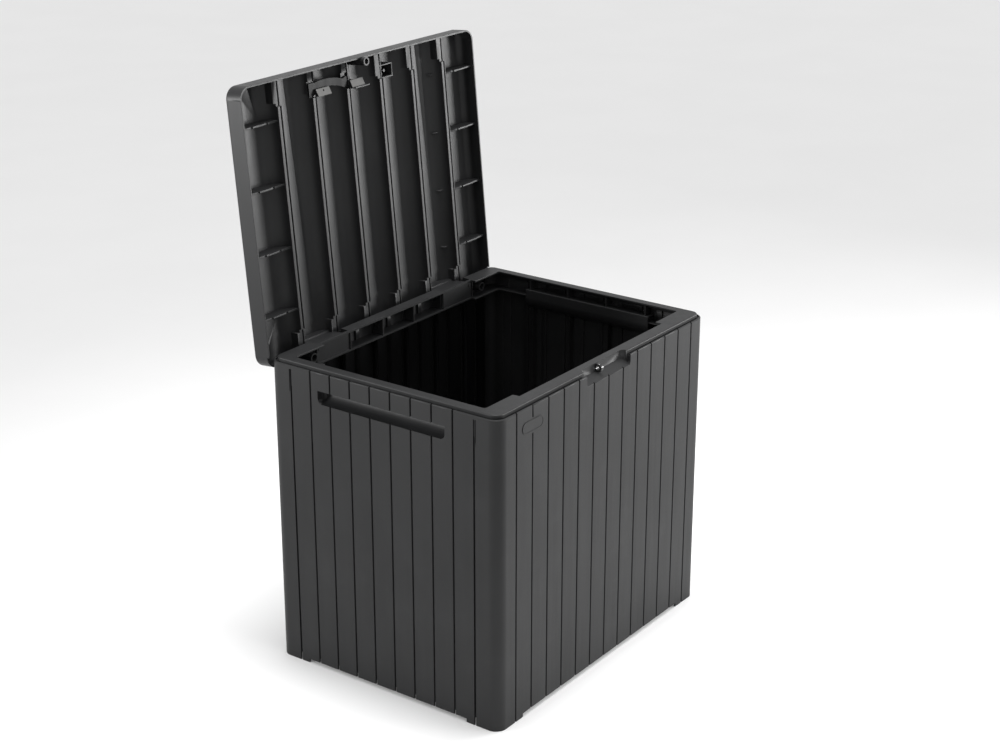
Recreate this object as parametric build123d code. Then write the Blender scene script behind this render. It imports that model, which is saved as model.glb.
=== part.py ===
from build123d import *
import math
import os

# Deck storage box, millimetres. X is the width, the front faces -Y, +Z is up.
# The origin is on the ground, under the middle of the box. The lid is stored open.

# Overall
WIDTH = 578.0
DEPTH = 440.0
CORNER_R = 20.0
SKIN = 2.8
PLANK_TOP = 510.3
FOOT_H = 6.3
FOOT_REACH_X = 226.0
FOOT_REACH_Y = 159.0

# Plank grooves
FRONT_PITCH = 40.83
SIDE_PITCH = 38.98
FRONT_GROOVES = 13
SIDE_PLANKS = 9
GROOVE_W = 3.0
GROOVE_D = 2.8
BACKING_W = 9.0
PLANK_BEVEL = 1.2

# Rim along the top of the panels
RIM_TOP = 516.0
RIM_T = 3.0
LEDGE_TOP = 507.5
LIP_INSET = 6.0
LIP_ROUND = 2.0
RIM_SIDE_X = 267.0
RIM_FRONT_MID_Y = 192.0
RIM_FRONT_END_Y = 180.0
RIM_BACK_MID_Y = 193.0
RIM_BACK_END_Y = 184.0
RIM_STEP_X = 199.0
SHELF_TOP = 484.0
SHELF_T = 2.5
WEB_T = 2.5
JOINT_GAP = 0.2

# Panel corner joint
JOINT_Y = SIDE_PLANKS / 2 * SIDE_PITCH
JOINT_LINE_D = 1.7
TONGUE_REACH = 18.0
TONGUE_T = 2.6
TONGUE_TOP = 478.0
TONGUE_BOTTOM = 20.0
TONGUE_ROOT = 6.0
SLIDE_GAP = 0.2
GUIDE_T = 2.2
GUIDE_LAP = 9.0
SNAP_LINE_OUT = 2.2
SNAP_LINE_W = 1.2
SNAP_LINE_D = 0.9
SNAP_LINE_BOTTOM = 468.0

# Floor
FLOOR_Z = 18.0
FLOOR_T = 2.5
FLOOR_INSET = 10.5
FLOOR_R = 10.0
FLOOR_SKIRT_GAP = 2.0
FLOOR_SKIRT_T = 2.5
FLOOR_SKIRT_LIFT = 1.0
POST_R = 16.0
POST_INSET = 22.0
SILL_TOP = FLOOR_Z - FLOOR_T
SILL_REACH = 24.0
SILL_T = 3.0
WALL_RIB_D = 11.0
BACKING_D = 3.3
FUSE = 0.5

# Hand recess in each side panel
HAND_HALF = 122.0
HAND_TOP = 480.7
HAND_BOTTOM = 459.4
HAND_DEPTH = HAND_TOP - HAND_BOTTOM
HAND_ROOF = 492.0
HAND_GRIP_T = 5.5
HAND_CORNER_R = 9.0
HAND_END_R = 18.0
HAND_WALL = 2.6

# Finger recess at the front, with the padlock eye in it
NOTCH_HALF = 61.0
NOTCH_BOTTOM = 492.5
NOTCH_DEPTH = 15.0
NOTCH_RISE = 10.0
NOTCH_R = 6.0
NOTCH_END_R = 10.0
NOTCH_WALL = 2.6
EYE_X = -13.0
EYE_Z = 508.0
EYE_R = 6.8
EYE_HOLE_R = 3.4
EYE_T = 7.0
EYE_ROUND = 1.5
EYE_REACH = 4.6
EYE_NECK_H = 7.6
EYE_BASE_W = 22.0
EYE_BASE_Z0 = 500.0
EYE_BASE_Z1 = 512.6
EYE_BASE_T = 3.0

# Blank plate outline at the top left of the front
BADGE_X = -5 * FRONT_PITCH
BADGE_Z = 479.0
BADGE_W = 53.0
BADGE_H = 19.0
BADGE_T = 0.8
BADGE_RIM = 1.5
BADGE_SUNK = 0.4
BADGE_BED = 2.5

# Lid, drawn closed, then opened by LID_OPEN
LID_OPEN = 95.0
HINGE_Y = 210.15
HINGE_Z = 502.9
LID_RIM = 511.0
LID_W = 577.0
LID_D = 440.0
LID_T = 32.0
LID_SKIN = 2.7
LID_EDGE_R = 5.0
LID_GROOVE_W = 3.0
LID_GROOVE_D = 1.6
REAR_SKIRT_RISE = 4.0
RIB_PITCH = 2 * FRONT_PITCH
RIB_W = 5.5
RIB_RECESS = 3.0
RIB_END_RECESS = 6.5
RIB_END_W = 11.0
RIB_END_LENGTH = 38.0
SLOT_W = 2.6
SLOT_D = 15.0
FIN_W = 2.0
COVE_R = 24.0
CROSS_RIB_T = 3.0
CROSS_RIB_PITCH = 99.5
CROSS_RIB_FIRST_Y = -157.5
CROSS_RIB_RISE = 1.5
CROSS_RIB_NEAR = 26.0
CROSS_RIB_FAR = 32.0
CROSS_STUB = 16.0
CROSS_STUB_H = 14.0
TICK_W = 2.4
TICK_D = 1.6

# Hinges
PIN_R = 4.0
PIN_CLEARANCE = 0.08
KNUCKLE_R = 7.2
LUG_X0 = 126.0
LUG_X1 = 200.5
LUG_SIDE_GAP = 1.5
CHEEK_T = 6.0
PIN_X0 = LUG_X0 - LUG_SIDE_GAP - CHEEK_T
PIN_X1 = LUG_X1 + LUG_SIDE_GAP + CHEEK_T
PIN_HEAD_R = 6.5
PIN_HEAD_T = 3.0
PIN_HEAD_GAP = 0.2
POCKET_REACH = 11.5
POCKET_DROP = 11.0
POCKET_WALL_T = 2.5
LUG_PLATE_T = 4.0
LUG_PLATE_REACH = 6.5
LUG_FOOT = 3.0
LUG_FOOT_RISE = 14.0
BOSS_X = 220.5
BOSS_Z = HINGE_Z - 3
BOSS_R = 8.0
BOSS_WALL = 2.2
STUD_X = 197.5
STUD_Z = HINGE_Z + 4
STUD_R = 3.2
STUD_L = 4.0

# Catch under the lid's front edge, in the closed lid's place
PAD_W = 31.0
PAD_D = 11.5
PAD_T = 2.4
PAD_Y = -182.0
PAD_A_X = -101.0
PAD_B_X = -19.5
PAD_Z = LID_RIM + 3.0
PAD_SLOPE = 5.0
PAD_HOLE_R = 1.6
NOSE_DROP = 9.0
SOCKET_X = 59.3
SOCKET_Y = -187.0
SOCKET_W = 33.4
SOCKET_D = 22.4
SOCKET_WALL = 2.0
SOCKET_WEB_DEPTH = 9.0
PEG_R = 2.4
PEG_DEPTH = 4.0
LOCK_TUBE_X = -2.0
LOCK_TUBE_Y = -212.8
LOCK_TUBE_R = 6.9
LOCK_TUBE_HOLE_R = 4.4
LOCK_TUBE_REACH = 7.0
LOCK_BLOCK_W = 10.0
ARM_T = 3.0
ARM_W = 12.5
ARM_ROOM = (-131.0, -36.0, -201.0, -175.5)
ARM_START = (-RIB_PITCH * 1.5 + 2, -190.5)
ARM_MIDDLE = (-78.0, -193.0)
ARM_END = (-RIB_PITCH / 2 - 1, -184.0)
ARM_BLOCK = (-129.5, -117.5, -198.5, -178.0)


def span(x0, x1, y0, y1, z0, z1):
    """A block from its two corners."""
    middle = ((x0 + x1) / 2, (y0 + y1) / 2, (z0 + z1) / 2)
    return Pos(*middle) * Box(abs(x1 - x0), abs(y1 - y0), abs(z1 - z0))


def ring(inset_out, inset_in, z0, z1):
    """A rectangular ring of wall between two insets from the box's outer face."""
    outer = RectangleRounded(WIDTH - 2 * inset_out, DEPTH - 2 * inset_out,
                             CORNER_R - min(inset_out, CORNER_R - 3))
    inner = RectangleRounded(WIDTH - 2 * inset_in, DEPTH - 2 * inset_in,
                             CORNER_R - min(inset_in, CORNER_R - 3))
    return Pos(0, 0, z0) * extrude(outer - inner, z1 - z0)


def top_edges(shape, z):
    """The edges that lie flat at height z."""
    return [e for e in shape.edges() if abs(e.center().Z - z) < 0.01 and e.bounding_box().size.Z < 0.01]


def outer_edges(shape, z, inset):
    """The flat edges at height z that run along the wall's outer face."""
    half_w = WIDTH / 2 - inset
    half_d = DEPTH / 2 - inset
    kept = []
    for edge in top_edges(shape, z):
        p = edge.position_at(0.5)
        on_side = abs(abs(p.X) - half_w) < 0.1 or abs(abs(p.Y) - half_d) < 0.1
        in_corner = abs(p.X) > half_w - CORNER_R and abs(p.Y) > half_d - CORNER_R
        reach = math.hypot(abs(p.X) - (WIDTH / 2 - CORNER_R), abs(p.Y) - (DEPTH / 2 - CORNER_R))
        if on_side or (in_corner and abs(reach - (CORNER_R - inset)) < 0.1):
            kept.append(edge)
    return kept


def wall_skin():
    """The plain outer wall all round, with the planks' bevelled top."""
    skin = ring(0, SKIN, 0, PLANK_TOP)
    return chamfer(outer_edges(skin, PLANK_TOP, 0), PLANK_BEVEL)


def rim_opening():
    """The plan of the mouth: wider in the middle of the front and back than at the corners."""
    mouth = Pos(0, (RIM_BACK_END_Y - RIM_FRONT_END_Y) / 2) * RectangleRounded(
        2 * RIM_SIDE_X, RIM_BACK_END_Y + RIM_FRONT_END_Y, 4)
    middle = Pos(0, (RIM_BACK_MID_Y - RIM_FRONT_MID_Y) / 2) * RectangleRounded(
        2 * RIM_STEP_X, RIM_BACK_MID_Y + RIM_FRONT_MID_Y, 2)
    return mouth + middle


def rim():
    """Gutter ledge, upstanding lip and flat rim all round, with the shelf below them."""
    lip = RectangleRounded(WIDTH - 2 * LIP_INSET, DEPTH - 2 * LIP_INSET, CORNER_R - LIP_INSET)
    lip_block = Pos(0, 0, LEDGE_TOP - RIM_T) * extrude(lip, RIM_TOP - LEDGE_TOP + RIM_T)
    lip_block = fillet(top_edges(lip_block, RIM_TOP), LIP_ROUND)
    hollow = RectangleRounded(WIDTH - 2 * LIP_INSET - 2 * RIM_T, DEPTH - 2 * LIP_INSET - 2 * RIM_T,
                              CORNER_R - LIP_INSET - RIM_T)
    lip_block -= Pos(0, 0, LEDGE_TOP - RIM_T - 1) * extrude(hollow, RIM_TOP - LEDGE_TOP + 1)
    mouth = rim_opening()
    lip_block -= Pos(0, 0, LEDGE_TOP) * extrude(mouth, RIM_TOP)
    ledge = ring(SKIN - FUSE, LIP_INSET + RIM_T, LEDGE_TOP - RIM_T, LEDGE_TOP)
    shelf_plan = RectangleRounded(WIDTH - 2 * SKIN + 1, DEPTH - 2 * SKIN + 1, CORNER_R - SKIN) - mouth
    shelf = Pos(0, 0, SHELF_TOP - SHELF_T) * extrude(shelf_plan, SHELF_T)
    return lip_block + ledge + shelf


def sill():
    """The ledge inside the foot of the panels that carries the floor."""
    return ring(SKIN - FUSE, SILL_REACH, SILL_TOP - SILL_T, SILL_TOP)


def front_groove_xs():
    return [(i - (FRONT_GROOVES - 1) / 2) * FRONT_PITCH for i in range(FRONT_GROOVES)]


def side_groove_ys():
    return [(i - (SIDE_PLANKS - 2) / 2) * SIDE_PITCH for i in range(SIDE_PLANKS - 1)]


def groove_bar(z0, z1):
    """One groove cutter, standing at the origin, that opens towards -Y."""
    mouth = GROOVE_W / 2
    foot = mouth - 0.5
    plan = Polyline((-mouth, -1), (-mouth, 0), (-foot, GROOVE_D), (foot, GROOVE_D), (mouth, 0), (mouth, -1),
                    close=True)
    return Pos(0, 0, z0) * extrude(make_face(plan), z1 - z0)


def wide_panel_region(sign):
    """The space that the front (-1) or back (+1) panel fills, corners and returns included."""
    near = JOINT_Y + JOINT_GAP / 2
    return span(-WIDTH, WIDTH, sign * near, sign * DEPTH, -5, RIM_TOP + 5)


def side_panel_region(sign):
    """The space that the left (-1) or right (+1) panel fills."""
    near = JOINT_Y - JOINT_GAP / 2
    return span(sign * 100, sign * WIDTH, -near, near, -5, RIM_TOP + 5)


def joint_cuts():
    """Depth and top of the corner joint's groove: through the skin beside the tongue, shallow above it."""
    return (SKIN + SLIDE_GAP, TONGUE_TOP - 1), (JOINT_LINE_D, LEDGE_TOP - RIM_T)


def wide_webs(sign, mid_y):
    """Upright webs: between shelf and rim in the channel, and shallow ones down the wall."""
    face = DEPTH / 2 - SKIN + FUSE
    lip = DEPTH / 2 - LIP_INSET - 1
    webs = []
    for x in rib_xs():
        webs.append(span(x - WEB_T / 2, x + WEB_T / 2, sign * (mid_y + 1), sign * lip, SHELF_TOP - 0.5,
                         RIM_TOP - 1))
        webs.append(span(x - WEB_T / 2, x + WEB_T / 2, sign * lip, sign * face, SHELF_TOP - 0.5,
                         LEDGE_TOP - 1))
        webs.append(span(x - WEB_T / 2, x + WEB_T / 2, sign * (face - WALL_RIB_D), sign * face,
                         FLOOR_Z + 1, SHELF_TOP - 1))
    return webs


def wide_backings(sign):
    """Thicker strips of wall behind the grooves."""
    face = DEPTH / 2 - SKIN + FUSE
    return [span(x - BACKING_W / 2, x + BACKING_W / 2, sign * (face - BACKING_D), sign * face,
                 FLOOR_Z + 1, PLANK_TOP - 6)
            for x in front_groove_xs()]


def corner_channels(sign):
    """The L-shaped guides inside both returns that hold the side panels' tongues."""
    guides = []
    stop = JOINT_Y + TONGUE_REACH + 2 * SLIDE_GAP
    inner = SKIN + TONGUE_T + 2 * SLIDE_GAP
    for side in (-1, 1):
        wall = side * (WIDTH / 2)
        guides.append(span(wall - side * (SKIN - FUSE), wall - side * (inner + GUIDE_T), sign * stop,
                           sign * (stop + GUIDE_T), FLOOR_Z + 1, TONGUE_TOP))
        guides.append(span(wall - side * inner, wall - side * (inner + GUIDE_T), sign * (stop - GUIDE_LAP),
                           sign * (stop + GUIDE_T), FLOOR_Z + 1, TONGUE_TOP))
    return guides


def wide_panel(sign, mid_y):
    """The front or back panel before its own recesses: planks, corners, rim, feet."""
    panel = (wall_skin() + rim() + sill()) & wide_panel_region(sign)
    panel = panel + wide_backings(sign) + wide_webs(sign, mid_y) + corner_channels(sign)
    turn = Rot(0, 0, 0 if sign < 0 else 180)
    grooves = [turn * Pos(x, -DEPTH / 2, 0) * groove_bar(-1, PLANK_TOP + 1) for x in front_groove_xs()]
    half_groove = GROOVE_W / 2
    joints = [span(s * WIDTH, s * (WIDTH / 2 - depth), sign * (JOINT_Y - 1), sign * (JOINT_Y + half_groove),
                   -1, top) for s in (-1, 1) for depth, top in joint_cuts()]
    foot_gap = span(-FOOT_REACH_X, FOOT_REACH_X, sign * 150, sign * DEPTH, -1, FOOT_H)
    arch = [span(s * 200, s * WIDTH, sign * (JOINT_Y - 20), sign * FOOT_REACH_Y, -1,
                 FOOT_H) for s in (-1, 1)]
    snap_y = sign * (JOINT_Y + SNAP_LINE_OUT)
    snaps = [span(s * WIDTH, s * (WIDTH / 2 - SNAP_LINE_D), snap_y, snap_y + sign * SNAP_LINE_W,
                  SNAP_LINE_BOTTOM, LEDGE_TOP - RIM_T) for s in (-1, 1)]
    return panel - grooves - joints - foot_gap - arch - snaps


def finger_recess_shell():
    """The pocket wall behind the front recess."""
    wall_y = -(DEPTH / 2 - NOTCH_DEPTH)
    low = span(-NOTCH_HALF - NOTCH_WALL, NOTCH_HALF + NOTCH_WALL, -DEPTH / 2 + SKIN - 0.5,
               wall_y + NOTCH_WALL,
               NOTCH_BOTTOM - 3, LEDGE_TOP - 0.5)
    high = span(-NOTCH_HALF - NOTCH_WALL, NOTCH_HALF + NOTCH_WALL, -DEPTH / 2 + LIP_INSET + 1,
                wall_y + NOTCH_WALL,
                LEDGE_TOP - 1, RIM_TOP - 0.5)
    back = span(-NOTCH_HALF - NOTCH_WALL, NOTCH_HALF + NOTCH_WALL, wall_y, wall_y + NOTCH_WALL,
                RIM_TOP - 1, RIM_TOP)
    return low + high + back


def finger_recess_space():
    """What is cut away for the fingers: a sloping floor, rounded ends, open at the top."""
    front = -DEPTH / 2 - 1
    wall_y = -(DEPTH / 2 - NOTCH_DEPTH)
    height = RIM_TOP + 10 - NOTCH_BOTTOM
    elevation = Pos(0, NOTCH_BOTTOM + height / 2) * RectangleRounded(2 * NOTCH_HALF, height, NOTCH_R)
    opening = Pos(0, wall_y, 0) * extrude(Plane.XZ * elevation, NOTCH_DEPTH + 1)
    plan = Pos(0, wall_y - 20) * RectangleRounded(2 * NOTCH_HALF, 40, NOTCH_END_R)
    opening = opening & (Pos(0, 0, NOTCH_BOTTOM - 1) * extrude(plan, height + 2))
    slope = Polyline((front, NOTCH_BOTTOM - 1), (front, NOTCH_BOTTOM), (wall_y, NOTCH_BOTTOM + NOTCH_RISE),
                     (wall_y, NOTCH_BOTTOM - 1), close=True)
    wedge = Pos(-NOTCH_HALF - 1, 0, 0) * extrude(Plane.YZ * make_face(slope), 2 * NOTCH_HALF + 2)
    return opening - wedge


def badge():
    """A blank raised plate with round ends on the front panel."""
    outline = SlotOverall(BADGE_W, BADGE_H)
    inner = SlotOverall(BADGE_W - 2 * BADGE_RIM, BADGE_H - 2 * BADGE_RIM)
    plate = extrude(outline, SKIN + BADGE_T) - Pos(0, 0, SKIN + BADGE_T - BADGE_SUNK) * extrude(inner, 1)
    return Pos(BADGE_X, -DEPTH / 2 + SKIN, BADGE_Z) * Rot(90, 0, 0) * plate


def badge_bed():
    """Wall that fills the groove behind the blank plate."""
    bed = Pos(BADGE_X, -DEPTH / 2 + SKIN, BADGE_Z) * Rot(90, 0, 0) * extrude(
        SlotOverall(BADGE_W + 2 * BADGE_BED, BADGE_H + 2 * BADGE_BED), SKIN)
    return bed


def make_front_panel():
    panel = wide_panel(-1, RIM_FRONT_MID_Y)
    panel = panel + badge_bed() + badge() + finger_recess_shell()
    panel -= finger_recess_space()
    wall_y = -(DEPTH / 2 - NOTCH_DEPTH)
    gap = 0.15
    reach = math.sqrt(EYE_R**2 - EYE_REACH**2) + gap
    slot = span(EYE_X - EYE_T / 2 - gap, EYE_X + EYE_T / 2 + gap, wall_y - 2, wall_y + NOTCH_WALL + 1,
                EYE_Z - reach, EYE_Z + reach)
    base_y = wall_y + NOTCH_WALL
    bed = span(EYE_X - EYE_BASE_W / 2 - gap, EYE_X + EYE_BASE_W / 2 + gap, base_y, base_y + EYE_BASE_T + 1,
               EYE_BASE_Z0 - gap, EYE_BASE_Z1 + gap)
    return panel - slot - bed


def make_padlock_eye():
    """A round lug with a cross hole, pushed through the recess wall from inside the box."""
    wall_y = -(DEPTH / 2 - NOTCH_DEPTH)
    centre_y = wall_y - EYE_REACH
    base_y = wall_y + NOTCH_WALL + 0.1
    disc = Cylinder(EYE_R, EYE_T)
    disc = fillet([e for e in disc.edges() if e.geom_type == GeomType.CIRCLE], EYE_ROUND)
    disc = Pos(EYE_X, centre_y, EYE_Z) * Rot(0, 90, 0) * disc
    neck = span(EYE_X - EYE_T / 2, EYE_X + EYE_T / 2, centre_y + 1, base_y + 1,
                EYE_Z - EYE_NECK_H / 2, EYE_Z + EYE_NECK_H / 2)
    base = span(EYE_X - EYE_BASE_W / 2, EYE_X + EYE_BASE_W / 2, base_y, base_y + EYE_BASE_T,
                EYE_BASE_Z0, EYE_BASE_Z1)
    hole = Pos(EYE_X, centre_y, EYE_Z) * Rot(0, 90, 0) * Cylinder(EYE_HOLE_R, EYE_T + 2)
    return disc + neck + base - hole


def hinge_pockets():
    """Cuts in the back panel's rim and wall where the lid's lugs swing."""
    cuts = []
    for s in (-1, 1):
        x0 = s * (LUG_X0 - LUG_SIDE_GAP)
        x1 = s * (LUG_X1 + LUG_SIDE_GAP)
        cuts.append(span(x0, x1, HINGE_Y - POCKET_REACH, DEPTH, HINGE_Z - POCKET_DROP, RIM_TOP + 1))
    return cuts


def hinge_cheeks():
    """The bearing cheeks beside each pocket, and the wall under it."""
    cheeks = []
    face = DEPTH / 2 - SKIN + FUSE
    lip = DEPTH / 2 - LIP_INSET - 1
    for s in (-1, 1):
        for x in (LUG_X0 - LUG_SIDE_GAP - CHEEK_T, LUG_X1 + LUG_SIDE_GAP):
            cheeks.append(span(s * x, s * (x + CHEEK_T), HINGE_Y - POCKET_REACH - 0.5, lip,
                               SHELF_TOP - 1, RIM_TOP - 1))
            cheeks.append(span(s * x, s * (x + CHEEK_T), lip - 1, face, SHELF_TOP - 1, LEDGE_TOP - 1))
        pocket_y = HINGE_Y - POCKET_REACH
        cheeks.append(span(s * (LUG_X0 - 5), s * (LUG_X1 + 5), pocket_y - POCKET_WALL_T, pocket_y,
                           SHELF_TOP - 1,
                           RIM_TOP - 1))
    return cheeks


def pin_bores(radius):
    """The line of each hinge pin, as a cutter."""
    length = PIN_X1 - PIN_X0 + 2
    bores = []
    for s in (-1, 1):
        middle = s * (PIN_X0 + PIN_X1) / 2
        bores.append(Pos(middle, HINGE_Y, HINGE_Z) * Rot(0, 90, 0) * Cylinder(radius, length))
    return bores


def pin_head_rooms():
    """Room for each pin's head outside the outer cheek."""
    rooms = []
    for s in (-1, 1):
        middle = s * (PIN_X1 + PIN_HEAD_T / 2 + PIN_HEAD_GAP)
        rooms.append(Pos(middle, HINGE_Y, HINGE_Z) * Rot(0, 90, 0) * Cylinder(
            PIN_HEAD_R + PIN_HEAD_GAP + 0.1, PIN_HEAD_T + 2 * PIN_HEAD_GAP))
    return rooms


def make_back_panel():
    panel = wide_panel(1, RIM_BACK_MID_Y)
    panel = panel + hinge_cheeks()
    bosses = []
    holes = []
    wall = DEPTH / 2 - SKIN + FUSE
    for s in (-1, 1):
        centre = Pos(s * BOSS_X, 0, BOSS_Z) * Rot(-90, 0, 0)
        bosses.append(Pos(0, RIM_BACK_END_Y + 2, 0) * centre * Cylinder(
            BOSS_R, wall - RIM_BACK_END_Y - 2, align=(Align.CENTER, Align.CENTER, Align.MIN)))
        holes.append(Pos(0, RIM_BACK_END_Y, 0) * centre * Cylinder(
            BOSS_R - BOSS_WALL, wall - RIM_BACK_END_Y - 4, align=(Align.CENTER, Align.CENTER, Align.MIN)))
        bosses.append(Pos(0, RIM_BACK_MID_Y + 2, 0) * Pos(s * STUD_X, 0, STUD_Z) * Rot(-90, 0, 0)
                      * Cylinder(STUD_R, STUD_L, align=(Align.CENTER, Align.CENTER, Align.MIN)))
    return panel + bosses - holes - hinge_pockets() - pin_bores(PIN_R + PIN_CLEARANCE) - pin_head_rooms()


def make_hinge_pin(sign):
    """A headed pin through both cheeks of one hinge."""
    length = PIN_X1 - PIN_X0
    shank = Pos((PIN_X0 + PIN_X1) / 2, 0, 0) * Rot(0, 90, 0) * Cylinder(PIN_R, length)
    shank = chamfer([e for e in shank.edges() if abs(e.center().X - PIN_X0) < 0.01], 0.8)
    head = Pos(PIN_X1, 0, 0) * Rot(0, 90, 0) * Cylinder(
        PIN_HEAD_R, PIN_HEAD_T, align=(Align.CENTER, Align.CENTER, Align.MIN))
    head = fillet([e for e in head.edges() if abs(e.center().X - PIN_X1 - PIN_HEAD_T) < 0.01], 1.2)
    pin = shank + head
    if sign < 0:
        pin = mirror(pin, Plane.YZ)
    return Pos(0, HINGE_Y, HINGE_Z) * pin


def hand_section(radius, x0, x1, roof):
    """Cross-section of the hand recess on the +X side: a quarter-round scoop with a straight part above."""
    quarter = Pos(WIDTH / 2, HAND_TOP) * Circle(radius)
    quarter &= Pos((x0 + x1) / 2, HAND_TOP - radius) * Rectangle(x0 - x1, 2 * radius)
    upper = Pos((x0 + x1) / 2, (HAND_TOP - 0.5 + roof) / 2) * Rectangle(x0 - x1, roof - HAND_TOP + 0.5)
    return quarter, upper


def hand_hull():
    """The pocket wall behind a side panel's hand recess, on the +X side."""
    radius = HAND_DEPTH + HAND_WALL
    quarter, upper = hand_section(radius, WIDTH / 2 - SKIN + 0.5, WIDTH / 2 - radius, HAND_ROOF + HAND_WALL)
    half = HAND_HALF + HAND_WALL
    return Pos(0, half, 0) * extrude(Plane.XZ * (quarter + upper), 2 * half)


def hand_space():
    """The hollow of a hand recess on the +X side: a scoop below and finger room above."""
    back = WIDTH / 2 - HAND_DEPTH
    scoop = hand_section(HAND_DEPTH, WIDTH / 2 + 1, back, HAND_ROOF)[0]
    grip = hand_section(HAND_DEPTH, WIDTH / 2 - HAND_GRIP_T, back, HAND_ROOF)[1]
    hollow = Pos(0, HAND_HALF, 0) * extrude(Plane.XZ * (scoop + grip), 2 * HAND_HALF)
    plan = Pos(back + 40, 0) * RectangleRounded(80, 2 * HAND_HALF, HAND_END_R)
    hollow &= Pos(0, 0, HAND_BOTTOM - 5) * extrude(plan, HAND_ROOF - HAND_BOTTOM + 10)
    height = HAND_ROOF + 20 - HAND_BOTTOM
    elevation = Pos(0, HAND_BOTTOM + height / 2) * RectangleRounded(2 * HAND_HALF, height, HAND_CORNER_R)
    return hollow & (Pos(back - 1, 0, 0) * extrude(Plane.YZ * elevation, HAND_DEPTH + 5))


def make_side_panel(sign):
    """The left (-1) or right (+1) panel, drawn on the +X side and turned for the left."""
    panel = (wall_skin() + rim() + sill()) & side_panel_region(1)
    face = WIDTH / 2 - SKIN + FUSE
    lip = WIDTH / 2 - LIP_INSET - 1
    for y in side_groove_ys():
        panel += span(face - BACKING_D, face, y - BACKING_W / 2, y + BACKING_W / 2, FLOOR_Z + 1,
                      PLANK_TOP - 6)
    for i in range(4):
        y = (i - 1.5) * 2 * SIDE_PITCH
        panel += span(RIM_SIDE_X + 1, lip, y - WEB_T / 2, y + WEB_T / 2, SHELF_TOP - 0.5, RIM_TOP - 1)
        panel += span(lip, face, y - WEB_T / 2, y + WEB_T / 2, SHELF_TOP - 0.5, LEDGE_TOP - 1)
        panel += span(face - WALL_RIB_D, face, y - WEB_T / 2, y + WEB_T / 2, FLOOR_Z + 1, SHELF_TOP - 1)
    tongue_x = WIDTH / 2 - SKIN - SLIDE_GAP
    for s in (-1, 1):
        panel += span(tongue_x - TONGUE_T, tongue_x, s * (JOINT_Y - GROOVE_W), s * (JOINT_Y + TONGUE_REACH),
                      TONGUE_BOTTOM, TONGUE_TOP)
        panel += span(tongue_x - TONGUE_T, face, s * (JOINT_Y - TONGUE_ROOT),
                      s * (JOINT_Y - GROOVE_W / 2 - 2 * SLIDE_GAP), TONGUE_BOTTOM, TONGUE_TOP)
    panel = panel + hand_hull()
    grooves = [Pos(WIDTH / 2, y, 0) * Rot(0, 0, 90) * groove_bar(-1,
                                                                 PLANK_TOP + 1) for y in side_groove_ys()]
    joints = [span(WIDTH / 2 - depth, WIDTH, s * (JOINT_Y - GROOVE_W / 2), s * (JOINT_Y + 1), -1, top)
              for s in (-1, 1) for depth, top in joint_cuts()]
    foot_gap = span(WIDTH / 2 - 60, WIDTH, -FOOT_REACH_Y, FOOT_REACH_Y, -1, FOOT_H)
    panel = panel - grooves - joints - foot_gap - hand_space()
    return panel if sign > 0 else Rot(0, 0, 180) * panel


def make_floor_panel():
    """The floor plate with its underside ribs, four corner posts and a middle one."""
    half_x = WIDTH / 2 - FLOOR_INSET
    half_y = DEPTH / 2 - FLOOR_INSET
    plate = Pos(0, 0, SILL_TOP + 0.05) * extrude(
        RectangleRounded(2 * half_x, 2 * half_y, FLOOR_R), FLOOR_T)
    inner_x = WIDTH / 2 - SILL_REACH - FLOOR_SKIRT_GAP
    inner_y = DEPTH / 2 - SILL_REACH - FLOOR_SKIRT_GAP
    z0 = FOOT_H + FLOOR_SKIRT_LIFT
    skirt = RectangleRounded(2 * inner_x, 2 * inner_y, 6) - RectangleRounded(
        2 * (inner_x - FLOOR_SKIRT_T), 2 * (inner_y - FLOOR_SKIRT_T), 4)
    plate += Pos(0, 0, z0) * extrude(skirt, SILL_TOP + 1 - z0)
    for i in range(-2, 4):
        x = (i - 0.5) * RIB_PITCH
        plate += span(x - WEB_T / 2, x + WEB_T / 2, -inner_y + 1, inner_y - 1, z0, SILL_TOP + 1)
    for i in range(-2, 3):
        y = i * 2 * SIDE_PITCH
        plate += span(-inner_x + 1, inner_x - 1, y - WEB_T / 2, y + WEB_T / 2, z0, SILL_TOP + 1)
    for sx in (-1, 1):
        for sy in (-1, 1):
            plate += Pos(sx * (inner_x - POST_INSET), sy * (inner_y - POST_INSET),
                         (SILL_TOP + 1) / 2) * Cylinder(
                POST_R, SILL_TOP + 1)
    plate += Pos(0, 0, (SILL_TOP + 1) / 2) * Cylinder(POST_R, SILL_TOP + 1)
    return plate


def rib_xs():
    return [(i - 2.5) * RIB_PITCH for i in range(6)]


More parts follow.
